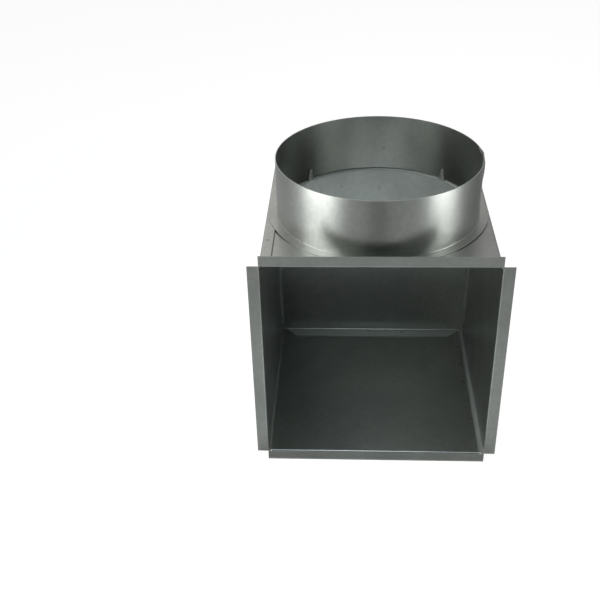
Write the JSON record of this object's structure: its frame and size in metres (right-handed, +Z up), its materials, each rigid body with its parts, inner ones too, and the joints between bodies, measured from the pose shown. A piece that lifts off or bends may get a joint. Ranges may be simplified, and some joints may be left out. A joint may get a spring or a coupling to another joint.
{
  "type": "flue air inlet adapter",
  "caption": "Square box of folded galvanised sheet, open at the front with turned-out flanges, and a round collar on its roof that carries a flue or air duct.",
  "frame": {"origin": "under the middle of the box, level with the lower edge of the bottom front flange", "axes": "+Z up along the collar's axis, -Y out of the open front, +X to the right seen from the front"},
  "size_m": [0.181, 0.166, 0.2177],
  "materials": {
    "galvanised_sheet": "satin zinc coat"
  },
  "bodies": {
    "root": {"box_wrap": "galvanised_sheet", "roof_wrap": "galvanised_sheet", "back_panel": "galvanised_sheet", "collar": "galvanised_sheet"}
  },
  "joints": []
}
